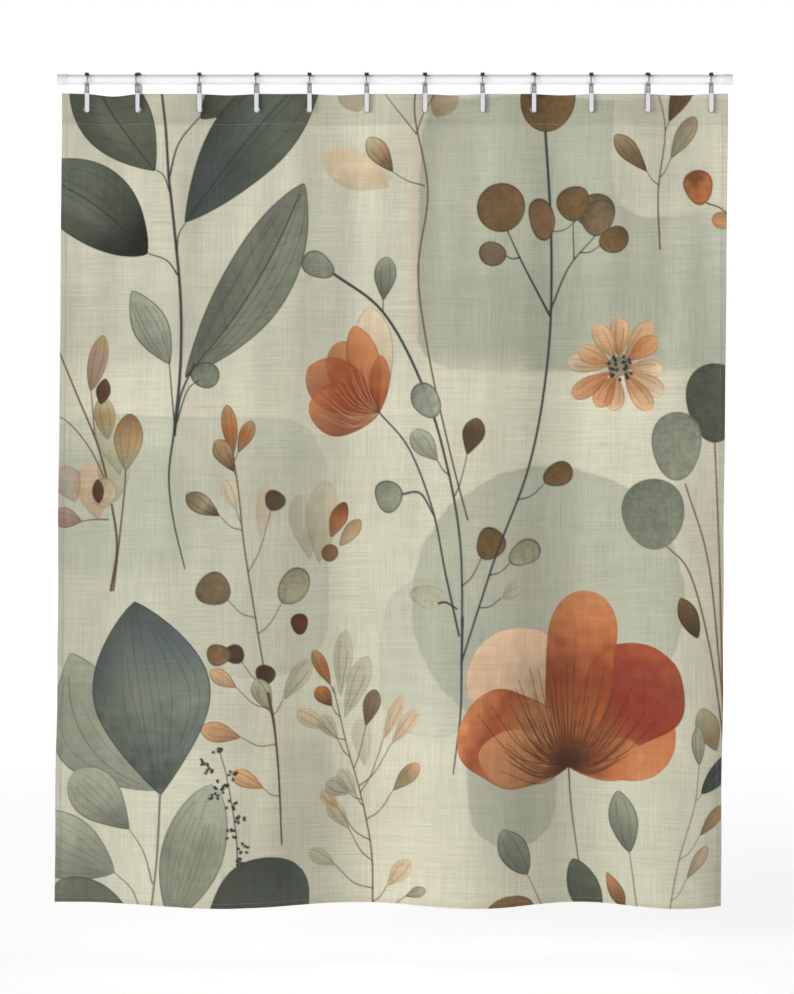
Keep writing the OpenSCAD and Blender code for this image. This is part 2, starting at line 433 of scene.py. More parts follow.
    def sprig(self, points, ink, thick, leaves, thin=None):
        """A stem with its leaves: (place from 0 to 1, angle, stalk, length, width, tint, kind)."""
        path = self.stem(points, ink, thick, thin)
        for place, angle, stalk, length, width, tint, kind in leaves:
            at = path[int(round(place * (len(path) - 1)))]
            turn = np.radians(angle)
            ahead = np.array([np.sin(turn), -np.cos(turn)])
            foot = at + ahead * stalk
            if stalk > 0:
                sag = at + ahead * stalk * 0.5 + np.array([0, stalk * 0.14])
                self.stem([at, sag, foot], ink, thick * 0.7, thick * 0.4)
            if kind == "round":
                self.round_leaf(foot + ahead * length * 0.45, width / 2, length / 2, tint, angle, ink=ink)
            elif kind == "brush":
                self.leaf(foot, angle, length, width, tint, (1.5, 0.58), edge=0.10, strength=0.55, ribs=2)
            elif kind == "drop":
                self.leaf(foot, angle, length, width, tint, edge=0.5, ribs=2)
            else:
                self.leaf(foot, angle, length, width, tint, shape=(1.1, 0.66), ribs=2)


def smooth_path(points, per_span=9):
    """A smooth line through points, as an array of its own closer points."""
    p = np.array(points, float)
    if len(p) == 2:
        return p[0] + (p[1] - p[0]) * np.linspace(0, 1, per_span)[:, None]
    ends = np.vstack([2 * p[0] - p[1], p, 2 * p[-1] - p[-2]])
    out = []
    for k in range(len(p) - 1):
        a, b, c, d = ends[k:k + 4]
        for t in np.linspace(0, 1, per_span, endpoint=False):
            out.append(0.5 * (2 * b + (c - a) * t + (2 * a - 5 * b + 4 * c - d) * t ** 2
                              + (3 * b - a - 3 * c + d) * t ** 3))
    return np.array(out + [p[-1]])


def paint_grounds(p):
    p.wash(-5, 66, 5, 60, 10, PALE_SAGE, 0.30, 5)
    p.wash(-5, 30, 44, 60, 4, SAGE, 0.22, 4)
    p.wash(-5, 155, -5, 6.8, 2, SAGE, 0.20, 0.5)
    p.wash(55, 78, 10, 66, 6, PALE_SAGE, 0.4, 5)
    p.wash(79, 84, 6, 56, 2, SHELL, 0.55, 2)
    p.wash(81, 156, 1, 62.5, 9, SAGE, 0.88)
    p.wash(84, 156, 40, 62, 9, DEEP_SAGE, 0.22, 4)
    p.wash(86, 120, 2, 30, 8, PALE_SAGE, 0.3, 5)
    p.wash(124, 156, -9, 27, 7, CREAM, 0.80)
    p.wash(136, 156, 27, 62, 5, PALE_SAGE, 0.75, 3)
    p.wash(-6, 61, 73, 131, 12, PALE_SAGE, 0.75)
    p.wash(-5, 30, 80, 108, 8, SAGE, 0.45, 4)
    p.wash(34, 60, 76, 96, 9, SAGE, 0.18, 1)
    p.wash(66, 82, 84, 150, 8, CREAM, 0.5, 5)
    p.wash(73, 96, 109, 145, 11, PALE_SAGE, 0.75)
    p.wash(70, 108, 60, 88, 6, CREAM, 0.6, 5)
    p.wash(124, 152, 62, 112, 6, CREAM, 0.7, 5)
    p.wash(80, 141, 84, 144, 29, SAGE, 0.80)
    p.wash(88, 120, 120, 142, 10, DEEP_SAGE, 0.18, 5)
    p.wash(-6, 45, 131, 190, 6, PALE_SAGE, 0.25, 4)
    p.wash(50, 90, 140, 175, 10, CREAM, 0.5, 6)
    p.wash(93, 113, 140, 170, 9.5, SAGE, 0.85)
    p.wash(110, 140, 148, 190, 8, SAGE, 0.40, 6)
    p.wash(50, 66, 146, 190, 8, SAGE, 0.30, 6)
    p.wash(96, 150, 64, 82, 6, CREAM, 0.6, 5)


def paint_dark_plant(p):
    """The tall plant at the top left, with big dark leaves."""
    p.leaf((21, 17.4), -32, 33, 16.4, (MOSS, MOSS, PINE), shape=(1.05, 0.8), bend=-0.04, veins=4, ink=INK,
           gleam=LEAF_GREY, fade=0.0, ribs=3)
    p.leaf((19.6, 36), -56, 34, 17.6, (SLATE, MOSS, PEWTER), shape=(1.0, 0.74), bend=0.07, veins=3, ink=INK,
           dark_foot=0.55, gleam=FERN, ribs=4)
    p.leaf((31.2, 5.6), 44, 17, 8, MOSS, shape=(1.1, 0.7), ink=INK, ribs=3)
    p.leaf((28, 29), 40, 48, 17.6, (BLUE_GREY, SLATE, PINE, MOSS), shape=(1.1, 0.8), bend=-0.03, veins=4,
           ink=INK, ribs=4, gleam=BLUE_GREY)
    p.leaf((28.5, 64), 31, 51, 15.5, STONE, shape=(1.1, 0.78), bend=0.05, veins=7, ink=INK, fade=0.03,
           side=0.02, ribs=7, half_tint=LEAF_GREY)
    p.leaf((25, 61), -28, 19, 8.0, LEAF_PALE, shape=(1.05, 0.8), ink=INK, edge=0.75, ribs=5)
    p.round_leaf((33, 63.5), 3.2, 3.0, LEAF_GREY, ink=INK)
    p.stem([(29, 107), (26.4, 96), (25.2, 86), (26.2, 76)], SLATE_LINE, 0.26, 0.5)
    p.stem([(26.2, 76), (27.4, 62), (27.2, 46), (25.6, 30), (24.2, 19)], SLATE_LINE, 0.62, 0.62)
    p.stem([(24.2, 19), (23.4, 8), (22.4, -1)], SLATE_LINE, 0.6, 0.5)
    p.stem([(24.3, 19), (26.5, 11), (32, 4)], INK, 0.42)
    p.stem([(24.4, 22), (23, 18.4), (20.9, 17)], INK, 0.3)
    for stalk in ([(26.6, 41), (24, 37.6), (19.8, 36)], [(26.3, 36), (26.6, 32), (28.3, 28.8)]):
        p.stem(stalk, INK, 0.34)
    p.stem([(26.4, 76), (27.6, 68), (30.5, 61)], SLATE_LINE, 0.5, 0.4)
    for stalk in ([(26.5, 77), (25.6, 68), (24.8, 60)], [(26.8, 74), (29, 67), (31.5, 64.6)]):
        p.stem(stalk, INK, 0.34)


def paint_tan_sprig(p):
    """Tan brush leaves on a brown stem at the left edge."""
    p.leaf((9, 96), -8, 13, 8.5, PEACH, shape=(1.5, 0.55), edge=0.1, strength=0.55)
    p.leaf((13, 92), -4, 12, 7.5, OLIVE, shape=(1.4, 0.55), edge=0.12, strength=0.55)
    p.leaf((14, 86), -14, 15, 7, OLIVE, edge=0.2, strength=0.6)
    p.leaf((4, 92), -24, 9, 6.4, ROSE_TAUPE, shape=(1.4, 0.6), edge=0.3, strength=0.5)
    p.stem([(12, 112), (13.4, 102), (12, 92), (9, 80), (4, 68), (-1, 56)], TWIG, 0.62, 0.28)
    p.stem([(12.6, 112), (14, 100), (15, 90), (15.2, 84)], WALNUT, 0.4, 0.3)
    for stalk in ([(11, 88), (7, 80), (2, 74), (-2, 72)], [(8, 77), (7.4, 70), (7, 66)],
                  [(11.4, 96), (8, 96), (5, 96.4)]):
        p.stem(stalk, TWIG, 0.3)
    p.leaf((7, 67), 12, 13, 4.4, (TAN, ROSE_TAUPE, TAN), shape=(1.2, 0.62), edge=0.25, ribs=2)
    p.leaf((11, 78), -8, 10, 4.8, (OLIVE, TAN, OLIVE), shape=(1.3, 0.62), edge=0.25, ribs=2)
    p.leaf((9.3, 70), 10, 6, 3.2, (CHESTNUT, MAROON, CHESTNUT), shape=(1.1, 0.7), edge=0.3)
    p.leaf((15.2, 85), 4, 13, 6.6, (OLIVE, TAN, UMBER), shape=(1.35, 0.6), edge=0.5, ribs=3)
    p.round_leaf((10.4, 90), 2.9, 3.3, SAND, edge=0.3)
    p.leaf((9.2, 92.4), -4, 5.6, 2.6, (CHESTNUT, MAROON), shape=(1, 0.7), edge=0.2)
    p.leaf((5.4, 96.4), -78, 7, 4.6, ROSE_TAUPE, shape=(1.35, 0.6), edge=0.45, ribs=2)


def paint_berry_sprig(p):
    """The tall brown sprig left of the middle."""
    p.leaf((46, 100), 6, 13, 3.6, PEACH, shape=(1.2, 0.6), edge=0, strength=0.35)
    p.sprig([(51.5, 169), (50.5, 150), (48, 135), (45, 118), (42.5, 103), (41, 90), (39.6, 82)], TWIG, 0.30, [
        (1.0, -8, 0, 12, 3.6, (TAN, ORANGE, TAN), "drop"),
        (0.98, 24, 2, 8, 3.4, (TAN, ORANGE, TAN), "drop"),
        (0.90, -30, 1, 8.4, 4.4, (UMBER, TAN, TAN), "drop"),
        (0.72, -58, 6, 9, 4.6, (UMBER, OLIVE, UMBER), "drop"),
        (0.74, -22, 3, 8, 3.8, BLUSH, "brush"),
        (0.62, 20, 15, 4.6, 4.6, WALNUT, "round"),
        (0.50, -56, 8, 7.4, 7.8, BARK, "round"),
        (0.46, 36, 9, 9, 6.4, OLIVE, "round"),
        (0.36, -46, 8, 4.6, 4.4, MAROON, "round"),
        (0.37, 0, -1.5, 4.4, 4.4, MAROON, "round"),
        (0.28, 34, 4, 11, 4.4, OLIVE, "brush"),
        (0.27, -24, 1, 8, 4.4, OLIVE, "drop"),
        (0.30, -58, 9, 7, 3.6, PEACH, "drop"),
        (0.20, -78, 8, 9.4, 4.6, HONEY, "drop"),
        (0.10, -62, 4, 8, 3.8, HONEY, "drop"),
    ], thin=0.3)
    p.stem([(51.5, 169), (51, 156), (49.6, 143), (48, 135)], TWIG, 0.16, 0.62)
    p.round_leaf((36.8, 126.4), 2.6, 2.5, NUT, tilt=20, edge=0.5)
    p.round_leaf((54.8, 119.5), 1.9, 2.3, CHESTNUT, tilt=-14, edge=0.5)


def paint_peach_sprigs(p):
    p.leaf((57, 105), -10, 15, 6, OLIVE, shape=(1.4, 0.6), edge=0.05, strength=0.4)
    p.leaf((59, 106), 4, 19, 7.5, SAND, shape=(1.4, 0.6), edge=0.08, strength=0.5)
    p.leaf((61.6, 100), 22, 8.6, 3.8, (TAN, ORANGE, CHESTNUT), shape=(1.3, 0.6), edge=0.4)
    p.leaf((63.6, 102), 38, 7.6, 3.4, (SAND, TAN), shape=(1.3, 0.6), edge=0.4)
    p.round_leaf((61.4, 103.6), 1.9, 1.9, NUT, edge=0.4)
    p.leaf((74, 21), -64, 17, 9, PEACH, shape=(1.3, 0.65), edge=0, strength=0.42)
    p.leaf((75, 19), -84, 14, 6, BLUSH, shape=(1.3, 0.65), edge=0, strength=0.4)
    p.leaf((67, 4), -20, 9, 7, TAN, shape=(1, 0.7), edge=0.05, strength=0.45)
    p.leaf((84, 5), 30, 9, 6, TAN, shape=(1, 0.7), edge=0.1, strength=0.6)
    p.stem([(82, 22), (85, 14), (89, 6)], BLUSH, 0.22)
    p.leaf((64, 136), 4, 15, 4.4, OLIVE, edge=0.1, strength=0.5, ribs=2)
    p.leaf((65, 141), 20, 15, 5, OLIVE, edge=0.15, strength=0.5, ribs=2)
    p.leaf((70, 152), -8, 11, 4.4, OLIVE, edge=0.05, strength=0.35)
    p.sprig([(72, 186), (71.6, 172), (69, 158), (65.4, 146), (62.4, 134)], TWIG, 0.34, [
        (0.97, -26, 2, 9, 3, (TAN, ORANGE, TAN), "drop"),
        (0.86, -38, 3, 5.6, 3.6, (UMBER, ORANGE), "drop"),
        (0.74, -58, 5, 8, 4, (BLUSH, PEACH), "brush"),
        (0.66, -36, 5, 7, 3.6, OLIVE, "brush"),
        (0.62, 14, 10, 8.6, 3.8, BARK, "drop"),
        (0.52, 36, 12, 10, 3.4, PEACH, "brush"),
        (0.50, 22, 13, 11, 3, PEACH, "brush"),
        (0.48, -64, 3, 6, 4.4, LICHEN, "brush"),
        (0.45, -34, 3, 7, 3.8, OLIVE, "brush"),
        (0.40, 42, 9, 8.6, 3.6, (OLIVE, TAN, PEACH), "drop"),
        (0.30, -44, 10, 6, 3, PEACH, "brush"),
        (0.22, -36, 9, 8, 3.8, (OLIVE, PEACH), "brush"),
        (0.12, -58, 10, 7, 3.6, OLIVE, "brush"),
        (0.05, 40, 5, 8, 4, PEACH, "brush"),
        (0.03, 66, 8, 5, 2.4, OLIVE, "drop"),
    ], thin=0.2)


def paint_bottom_left(p):
    """The big turned leaf and the sage leaves under it."""
    p.leaf((23.6, 157), -34, 37, 20, LEAF_PALE, shape=(1.0, 0.8), bend=-0.13, edge=0.5, ink=INK, ribs=5)
    dark_blade = (SLATE, PEWTER, FERN, BLUE_GREY, SLATE)
    p.leaf((24.4, 158), -9, 44, 27, dark_blade, shape=(1.12, 0.84), bend=0.02, ink=INK,
           fade=0.0, side=0.14, gleam=LEAF_GREY, edge=0.7, ribs=9)
    pale_blade = (LEAF_GREY, LEAF_PALE, LEAF_PALE)
    p.leaf((17, 166), -46, 18, 11.5, pale_blade, shape=(1.5, 0.55), ink=MOSS, ribs=6, edge=0.7)
    p.leaf((13.6, 176), -64, 24, 15, LEAF_PALE, shape=(1.3, 0.55), ink=MOSS, ribs=6, edge=0.7)
    p.leaf((27, 186), 17, 32, 14, (LICHEN, LICHEN, LEAF_PALE), shape=(1.1, 0.6), ink=MOSS, ribs=8, edge=0.7)
    p.leaf((20, 192), -58, 24, 13, (MOSS, STONE), shape=(1.3, 0.55), ink=INK, gleam=BLUE_GREY)
    for k in range(7):
        p.dots((42.6 - 0.5 * k + 1.3 * np.sin(k * 2.4), 173 - 3.3 * k), 1.25, 7, 0.36, INK, 40 + k)
    for k in range(5):
        p.dots((36.2 + 1.6 * np.sin(k * 1.7), 158 - 2.6 * k), 1.25, 6, 0.36, INK, 60 + k)
    p.stem([(42, 178), (41.4, 166), (39.4, 154), (37.6, 148)], INK, 0.26)
    p.leaf((36, 193), 46, 27, 20, (PINE, SLATE), shape=(1.25, 0.5), ink=INK, ribs=1)
    p.stem([(22, 187), (23.4, 174), (24.3, 157)], STONE, 0.42, 0.5)
    p.stem([(22.6, 178), (20.4, 171), (17, 166)], STONE, 0.36)
    p.stem([(20.6, 187), (18, 180), (13.6, 176)], STONE, 0.36)


def paint_middle_stems(p):
    """The tall dark stems in the middle, with brown and sage leaves."""
    p.stem([(90.6, 122), (87.4, 108), (84.6, 94), (79, 80), (72.2, 71.8)], SLATE_LINE, 0.46, 0.32)
    p.stem([(92.4, 96), (88, 80), (83, 58), (80.6, 40), (82.6, 22), (79.6, 6), (79.6, -1)], TWIG, 0.36, 0.3)
    p.stem([(79.8, 9), (75, 3), (72, -1)], TWIG, 0.24)
    p.stem([(79.8, 9), (81.6, 4), (84, 0)], TWIG, 0.26)
    p.leaf((74.6, 17.6), -36, 9.6, 4.6, (UMBER, TAN, OLIVE), shape=(1.4, 0.6), edge=0.6, ribs=2)
    p.stem([(81.8, 20.6), (78, 19.6), (74.6, 17.6)], TWIG, 0.28)
    path = [(91.3, 120), (90.6, 100), (87.6, 84), (82, 66), (72.6, 49), (60, 39.4)]
    p.sprig(path, SLATE_LINE, 0.42, [
        (0.98, -62, 0.5, 7.4, 5.8, LICHEN, "round"),
        (0.80, 4, 2.4, 10, 5, (STONE, LICHEN), "drop"),
        (0.52, -24, 1.5, 8.4, 6.2, DEEP_SAGE, "round"),
        (0.37, -40, 4, 9, 5.2, LEAF_PALE, "drop"),
        (0.30, 16, 10, 8.6, 5, (UMBER, WALNUT, UMBER), "drop"),
        (0.10, 34, 8, 7.4, 6.4, ACORN, "round"),
    ], thin=0.62)
    p.stem([(84.8, 95), (81.6, 90), (77, 90.4)], SLATE_LINE, 0.34, 0.5)
    p.round_leaf((74.6, 90.8), 3.1, 3.6, LICHEN, ink=INK)
    p.round_leaf((83.6, 113.4), 4.0, 2.6, HAY, edge=0.15, strength=0.7)
    p.stem([(90, 116), (87.6, 114.6), (86, 114.8)], INK, 0.34, 0.5)
    tall = [(91.2, 128), (98, 106), (106, 84), (110, 60), (110.6, 34), (108.8, 6)]
    p.sprig(tall, SLATE_LINE, 0.4, [
        (0.18, 58, 6, 7.6, 5.6, OLIVE, "round"),
        (0.12, 66, 5.6, 5, 4.4, HAY, "brush"),
        (0.34, 58, 7.6, 7, 5.4, ACORN, "round"),
        (0.83, 64, 7, 8.4, 7.4, ACORN, "round"),
    ], thin=0.6)
    p.stem([(91.3, 118), (91.2, 130), (91, 140), (89.8, 153)], SLATE_LINE, 0.62, 0.26)
    p.round_leaf((109.4, 1.4), 6.4, 7.0, ACORN, ink=INK, burn=0.35)
    p.sprig([(110.4, 49), (114.6, 39), (120.4, 32)], SLATE_LINE, 0.44, [
        (1.0, 8, 0.4, 8.2, 7.2, BARK, "round"),
        (0.62, -2, 9, 8, 7, ACORN, "round"),
        (0.7, 70, 5, 6.6, 6, ACORN, "round"),
    ])
    p.sprig([(110.4, 50), (104.4, 39), (100.6, 31)], INK, 0.5, [
        (1.0, -16, 0.2, 11.4, 10.4, ACORN, "round"),
        (0.62, -82, 3.4, 6, 5.6, BARK, "round"),
    ])
    p.round_leaf((108.4, 28.4), 3.0, 4.6, NUT, ink=INK, tilt=-8)


def fan_lines(p, foot, low, high, count, reach, ink, seed):
    """Fine lines that fan out from a flower's foot."""
    rng = np.random.default_rng(seed)
    for k in range(count):
        angle = low + (high - low) * k / (count - 1)
        length = reach * rng.uniform(0.6, 1.0)
        turn = np.radians(angle)
        bulge = np.radians(angle * 0.30)
        mid = (foot[0] + np.sin(turn + bulge) * length * 0.5, foot[1] - np.cos(turn + bulge) * length * 0.5)
        end = (foot[0] + np.sin(turn) * length, foot[1] - np.cos(turn) * length)
        p.stem([foot, mid, end], ink, 0.20, 0.06)


def paint_flowers(p):
    # a small bud flower
    foot = (72.2, 71.8)
    p.leaf(foot, -6, 24, 9, (CLAY, BLUSH, BLUSH), shape=(1.4, 0.6), edge=0.35, strength=0.7)
    p.leaf(foot, -33, 18.6, 11, (RUST, COPPER, AMBER), edge=0.3, strength=0.9)
    p.leaf(foot, -17, 20.5, 7, (RUST, AMBER, AMBER), shape=(1.5, 0.62), edge=0.3)
    p.leaf(foot, -58, 19, 12, (RUST, EMBER, COPPER), edge=0.25, strength=0.8)
    p.leaf(foot, -86, 16, 12, (RUST, EMBER, COPPER), shape=(1.3, 0.55), edge=0.3, strength=0.8)
    p.leaf(foot, 1, 13, 4.4, (RUST, COPPER), shape=(1.3, 0.66), edge=0.25, strength=0.8)
    fan_lines(p, foot, -96, -20, 12, 15, PEACH, 8)
    fan_lines(p, foot, -70, -6, 7, 9, CHESTNUT, 7)
    # a daisy
    for k in range(12):
        angle = 30 * k + 7 * np.sin(k * 2.3)
        tint = ((AMBER, PEACH), (CLAY, BLUSH), (COPPER, APRICOT), (APRICOT, PEACH))[(k * 3 + k // 4) % 4]
        reach = 9.0 + 1.4 * np.sin(k * 1.7)
        turn = np.radians(angle)
        foot = (126 + 2.0 * np.sin(turn), 61.5 - 2.0 * np.cos(turn))
        p.leaf(foot, angle, reach, 4.4, tint, shape=(1.7, 0.5), edge=0.3, strength=0.84, ribs=2)
    p.round_leaf((126, 61.5), 2.5, 2.3, UMBER, edge=0.1, strength=0.5)
    p.dots((126, 61.5), 3.3, 24, 0.42, INK, 11)
    # the large flower
    foot = (116, 152)
    p.leaf(foot, 60, 25, 21, (EMBER, AMBER, COPPER), shape=(1.5, 0.48), edge=0.15)
    p.leaf(foot, 39, 33, 22, (RUST, COPPER, BRICK, BRICK, RUST),
           shape=(1.6, 0.40), edge=0.25, side=0.02, rough=0.06)
    p.leaf(foot, -31, 35, 22, (RUST, HONEY, PETAL, PETAL), shape=(1.55, 0.45),
           edge=0.12, side=0.02, rough=0.07)
    p.leaf(foot, 5, 40, 17, (RUST, COPPER, EMBER, COPPER, AMBER),
           shape=(1.6, 0.44), edge=0.2, side=0.03, rough=0.05)
    p.leaf(foot, 79, 17, 10, (RUST, AMBER), shape=(1.3, 0.55), edge=0.15, strength=0.85)
    p.leaf(foot, -64, 27, 22, (BRICK, AMBER, AMBER, RUST, AMBER),
           shape=(1.4, 0.48), edge=0.25, side=-0.03, gleam=EMBER, rough=0.05)
    p.leaf(foot, -80, 21, 13, (EMBER, CLAY, APRICOT), shape=(1.3, 0.55), edge=0.1, strength=0.7)
    fan_lines(p, foot, -92, 84, 52, 16, DARK_SEPIA, 9)
    fan_lines(p, foot, -60, 60, 30, 25, DARK_SEPIA, 10)
    p.stem([foot, (117, 164), (120, 184)], SLATE_LINE, 0.32)


def paint_right_side(p):
    p.stem([(153, 158), (150, 144), (146.6, 124), (142, 108), (137, 102)], ROSEWOOD, 0.46, 0.3)
    p.stem([(151, 150), (149, 128), (146, 104), (141, 88)], ROSEWOOD, 0.42, 0.3)
    p.stem([(150.4, 146), (149.4, 120), (148.6, 96), (147.6, 78)], ROSEWOOD, 0.42, 0.3)
    p.stem([(152, 130), (152, 110), (154, 92)], ROSEWOOD, 0.4)
    p.round_leaf((147.6, 69.6), 6.6, 8.8, MOSS, edge=0.3, lump=0.03, burn=0.0)
    p.round_leaf((139, 79.4), 5.6, 7.6, LICHEN, edge=0.4, lump=0.03, ink=MOSS)
    p.round_leaf((134, 94.8), 6.8, 8.0, LEAF_GREY, edge=0.3, lump=0.03, ink=MOSS)
    p.leaf((144, 122.6), -24, 10, 4.4, (WALNUT, UMBER), shape=(1.1, 0.7))
    p.leaf((148.6, 148), -22, 10.4, 5.4, (TAN, OLIVE), shape=(1.3, 0.6), edge=0.45)
    p.sprig([(135, 35), (134.5, 22), (136, 8), (134, -2)], TWIG, 0.34, [
        (0.36, -42, 4, 11, 4.4, (UMBER, DRIFTWOOD), "drop"),
        (0.42, 30, 5, 11, 4.2, (OLIVE, DRIFTWOOD), "drop"),
        (0.66, 24, 2, 13, 5, (UMBER, WALNUT), "drop"),
    ])
    p.round_leaf((143.6, 21), 3.2, 4.0, COPPER, burn=0.35)
    p.round_leaf((149, 28.6), 2.3, 2.0, APRICOT, edge=0.2)
    p.stem([(145.6, 24.6), (148.6, 25.8), (152, 29)], CHESTNUT, 0.35)
    p.sprig([(137.6, 186), (140, 172), (143.6, 160), (144.6, 151)], STONE, 0.26, [
        (1.0, -4, 0, 9, 3, (OLIVE, DEEP_SAGE), "leaf"),
        (0.70, 44, 2, 13, 4.8, (SLATE, BLUE_GREY), "leaf"),
        (0.34, 42, 7, 8.6, 3, (TAN, TAN), "drop"),
        (0.10, 34, 6, 8.6, 2.8, SAND, "drop"),
    ])
    p.sprig([(131.4, 186), (130.4, 178), (129.4, 171)], STONE, 0.34,
            [(1.0, -10, 0, 14, 6, LEAF_GREY, "leaf")])
    p.sprig([(112, 188), (109, 181), (106.6, 176)], STONE, 0.28, [
        (1.0, -30, 0, 12, 6.6, (LEAF_GREY, LICHEN), "leaf"),
    ])
    p.leaf((123, 188), -22, 16, 7, MOSS, ink=INK, shape=(1.1, 0.6))
    p.leaf((128.4, 183.6), -26, 8.6, 3.2, (UMBER, AMBER), shape=(0.85, 0.9), edge=0.4)
    p.leaf((105, 192), -24, 12, 13, ACORN, shape=(1.2, 0.5), ink=INK)


def paint_all(p):
    paint_grounds(p)
    p.rgb *= (1 + 0.022 * p.cloud + 0.010 * p.mottle)[..., None]
    for brush in (paint_dark_plant, paint_tan_sprig, paint_berry_sprig, paint_peach_sprigs, paint_bottom_left,
                  paint_middle_stems, paint_flowers, paint_right_side):
        brush(p)
    p.rgb *= np.array(WARMTH)


def linear(rgb):
    """Display colours from 0 to 255 as linear light."""
    c = np.clip(rgb / 255, 0, 1)
    return np.where(c <= 0.04045, c / 12.92, ((c + 0.055) / 1.055) ** 2.4)


# ---- materials ----

# Noise cells per metre across and along the threads, and how much they lighten or darken the cloth
THREADS = ((560, 11, 0.17), (270, 7, 0.15), (110, 5, 0.04))
STREAK = 0.05
WEAVE = 190.0
WEAVE_HEIGHT = 0.3
# Metal counts as an edge, and gets painted edge shade, where its turned normal and its own agree less than
# this
EDGE_TURN = 0.78
# The floor glows FLOOR_GLOW up to FADE_START metres from its middle and FLOOR_FAR past FADE_END
FADE_START = 1.2
FADE_END = 9.0
FLOOR_GLOW = 0.64
FLOOR_FAR = 0.95


class Nodes:
    """Short names for building the nodes of one new material or world."""

    def __init__(self, name, kind="materials", shader="Principled BSDF"):
        self.data = getattr(bpy.data, kind).new(name)
        self.data.use_nodes = True
        self.tree = self.data.node_tree
        self.shader = self.tree.nodes[shader]

    def add(self, kind, settings=None, **inputs):
        node = self.tree.nodes.new(kind)
        for key, value in (settings or {}).items():
            setattr(node, key, value)
        for key, value in inputs.items():
            self.put(node, key.replace("_", " "), value)
        return node

    def put(self, node, key, value):
        socket = node.inputs[int(key) if key.isdigit() else key]
        if isinstance(value, bpy.types.NodeSocket):
            self.tree.links.new(value, socket)
        else:
            socket.default_value = value

    def shade(self, **inputs):
        """Sets inputs of the shader."""
        for key, value in inputs.items():
            self.put(self.shader, key.replace("_", " "), value)

    def place(self):
        return self.add("ShaderNodeTexCoord").outputs["Object"]

    def math(self, operation, a, b=0.0):
        return self.add("ShaderNodeMath", {"operation": operation}, **{"0": a, "1": b}).outputs[0]

    def total(self, values):
        out = values[0]
        for value in values[1:]:
            out = self.math("ADD", out, value)
        return out

    def spread(self, value, low, high, start=0.0, end=1.0, ease="LINEAR"):
        """A value from start to end, stretched to run from low to high."""
        node = self.add("ShaderNodeMapRange", {"interpolation_type": ease}, Value=value, From_Min=start)
        for key, bound in (("From Max", end), ("To Min", low), ("To Max", high)):
            self.put(node, key, bound)
        return node.outputs[0]

    def scaled(self, vector, x, y, z=0.0):
        node = self.add("ShaderNodeVectorMath", {"operation": "MULTIPLY"}, **{"0": vector, "1": (x, y, z)})
        return node.outputs[0]

    def noise(self, vector, scale, detail=2.0):
        return self.add("ShaderNodeTexNoise", None, Vector=vector, Scale=scale, Detail=detail).outputs[0]

    def tinted(self, base, level):
        """A colour, or a colour socket, made lighter or darker by level."""
        if not isinstance(base, bpy.types.NodeSocket):
            colour = self.add("ShaderNodeRGB").outputs[0]
            colour.default_value = (*base, 1)
            base = colour
        node = self.add("ShaderNodeVectorMath", {"operation": "SCALE"}, **{"0": base, "Scale": level})
        self.shade(Base_Color=node.outputs[0])

    def bump(self, height, strength, depth, **inputs):
        node = self.add("ShaderNodeBump", None, Height=height, Strength=strength, Distance=depth, **inputs)
        self.shade(Normal=node.outputs[0])


def cloth_weave(n, flat):
    """Linen threads in both ways with slubs and dry brush streaks: (brightness, height)."""
    patch = n.noise(flat, 5.0, 1.0)
    lean = n.spread(patch, 0.45, 1.0, 0.35, 0.65)
    other = n.math("SUBTRACT", 1.45, lean)
    upright = []
    level = []
    for across, along, depth in THREADS:
        upright.append(n.spread(n.noise(n.scaled(flat, across, along), 1.0, 1.0), -depth, depth))
        level.append(n.spread(n.noise(n.scaled(flat, along, across), 1.0, 1.0), -depth, depth))
    warp = n.math("MULTIPLY", n.total(upright), lean)
    weft = n.math("MULTIPLY", n.total(level), other)
    streak = n.spread(n.noise(n.scaled(flat, 3.0, 70.0), 1.0, 3.0), -STREAK, STREAK)
    threads = n.math("ADD", warp, weft)
    brightness = n.total([threads, streak, 1.0])
    height = threads
    for way in "XY":
        wave = n.add("ShaderNodeTexWave", {"bands_direction": way}, Vector=flat, Scale=WEAVE, Distortion=0.6)
        height = n.math("ADD", height, n.math("MULTIPLY", wave.outputs["Fac"], WEAVE_HEIGHT))
    return brightness, height


def cloth_material(name, print_level):
    n = Nodes(name)
    flat = n.add("ShaderNodeAttribute", {"attribute_name": "flat"}).outputs["Vector"]
    ink = n.add("ShaderNodeAttribute", {"attribute_name": "ink"}).outputs["Color"]
    level, height = cloth_weave(n, flat)
    n.tinted(ink, n.math("MULTIPLY", level, print_level))
    n.shade(Roughness=0.86, Specular_IOR_Level=0.25, Sheen_Weight=0.12, Sheen_Roughness=0.5)
    n.bump(height, 0.35, 0.0004)
    return n.data


def thread_material(name, colour):
    """Twisted thread, lighter and darker along its length."""
    n = Nodes(name)
    strands = n.noise(n.place(), 1500.0)
    patches = n.noise(n.place(), 60.0)
    n.tinted(colour, n.math("ADD", n.spread(strands, -0.12, 0.12), n.spread(patches, 0.92, 1.06)))
    n.shade(Roughness=0.7)
    n.bump(strands, 0.5, 0.0002)
    return n.data


